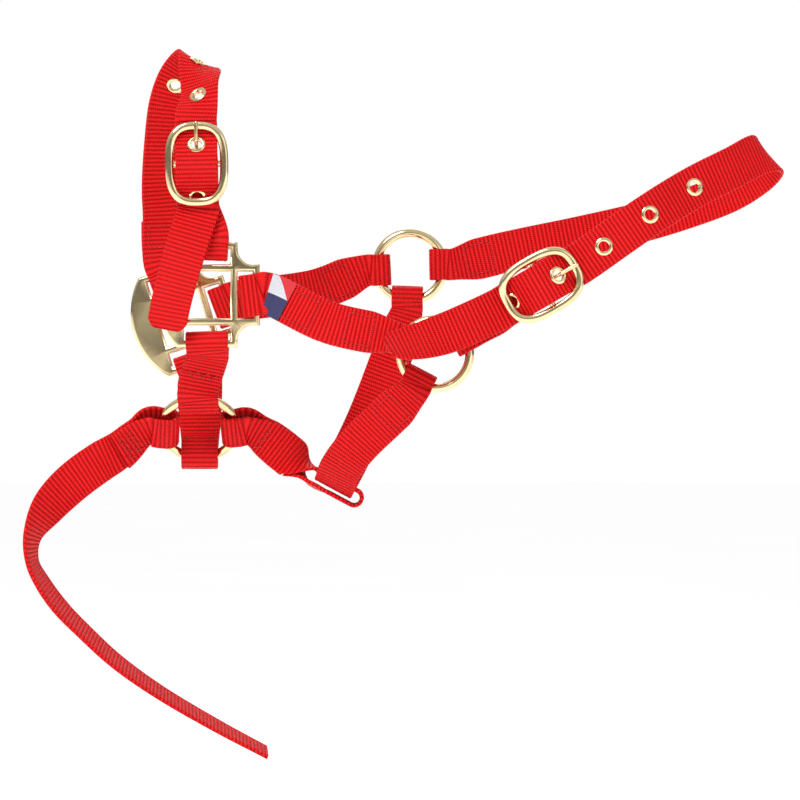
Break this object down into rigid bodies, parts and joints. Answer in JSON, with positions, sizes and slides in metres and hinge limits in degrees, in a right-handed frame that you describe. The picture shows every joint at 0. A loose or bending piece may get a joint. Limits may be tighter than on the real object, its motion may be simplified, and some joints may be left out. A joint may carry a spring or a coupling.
{
  "type": "foal halter",
  "caption": "Flat webbing foal halter with adjustable noseband and crown, cast squares, jaw and chin rings, and a grab strap under the chin.",
  "frame": {"origin": "On the inner face of the crown strap, at the middle of its width, where it rests behind the horse's ears.", "axes": "+X from the nose towards the poll, +Z towards the front of the face, +Y towards the horse's off (right) side."},
  "size_m": [0.3452, 0.1124, 0.3232],
  "materials": {
    "webbing": "ribbed red nylon webbing with rolled selvedges",
    "hardware": "polished pale brass plate on castings and wire",
    "eyelet": "polished brass eyelets",
    "tag": "woven polyester tag in plain colour blocks"
  },
  "bodies": {
    "root": {"noseband_strap": "webbing", "noseband_chape": "webbing", "near_cheek_strap": "webbing", "far_cheek_strap": "webbing", "crown_strap": "webbing", "crown_chape": "webbing", "throat_strap": "webbing", "connecting_strap": "webbing", "near_chin_strap": "webbing", "far_chin_strap": "webbing", "woven_tag": "tag", "near_halter_square": "hardware", "far_halter_square": "hardware", "noseband_eyelets": "eyelet", "crown_eyelets": "eyelet"},
    "near_ring": {"near_jaw_ring": "hardware"},
    "far_ring": {"far_jaw_ring": "hardware"},
    "lead_ring": {"chin_ring": "hardware"},
    "grab": {"grab_strap": "webbing"},
    "nose_frame": {"noseband_buckle_frame": "hardware"},
    "nose_tongue": {"noseband_buckle_tongue": "hardware"},
    "crown_frame": {"crown_buckle_frame": "hardware"},
    "crown_tongue": {"crown_buckle_tongue": "hardware"}
  },
  "joints": [
    {"name": "near_ring_spin", "type": "hinge", "parent": "root", "child": "near_ring", "pos_m": [-0.1507, -0.042, -0.0893], "axis": [0, 1, 0], "continuous": true},
    {"name": "far_ring_spin", "type": "hinge", "parent": "root", "child": "far_ring", "pos_m": [-0.1618, 0.042, -0.0486], "axis": [0, 1, 0], "continuous": true},
    {"name": "lead_ring_spin", "type": "hinge", "parent": "root", "child": "lead_ring", "pos_m": [-0.2577, 0, -0.1227], "axis": [0, 0.788, 0.6157], "continuous": true},
    {"name": "grab_swing", "type": "hinge", "parent": "root", "child": "grab", "pos_m": [-0.2747, 0, -0.1227], "axis": [0, -0.6157, 0.788], "range_deg": [-30, 30]},
    {"name": "nose_frame_rock", "type": "hinge", "parent": "root", "child": "nose_frame", "pos_m": [-0.2577, -0.0336, -0.0039], "axis": [0.9998, 0, 0.0175], "range_deg": [0, 1.5]},
    {"name": "nose_tongue_turn", "type": "hinge", "parent": "nose_frame", "child": "nose_tongue", "pos_m": [-0.2577, -0.0336, -0.0039], "axis": [0.9998, 0, 0.0175], "range_deg": [0, 3.5]},
    {"name": "crown_frame_rock", "type": "hinge", "parent": "root", "child": "crown_frame", "pos_m": [-0.1032, -0.0456, -0.0586], "axis": [0.5, 0, -0.866], "range_deg": [0, 1.5]},
    {"name": "crown_tongue_turn", "type": "hinge", "parent": "crown_frame", "child": "crown_tongue", "pos_m": [-0.1032, -0.0456, -0.0586], "axis": [0.5, 0, -0.866], "range_deg": [0, 3.5]}
  ]
}
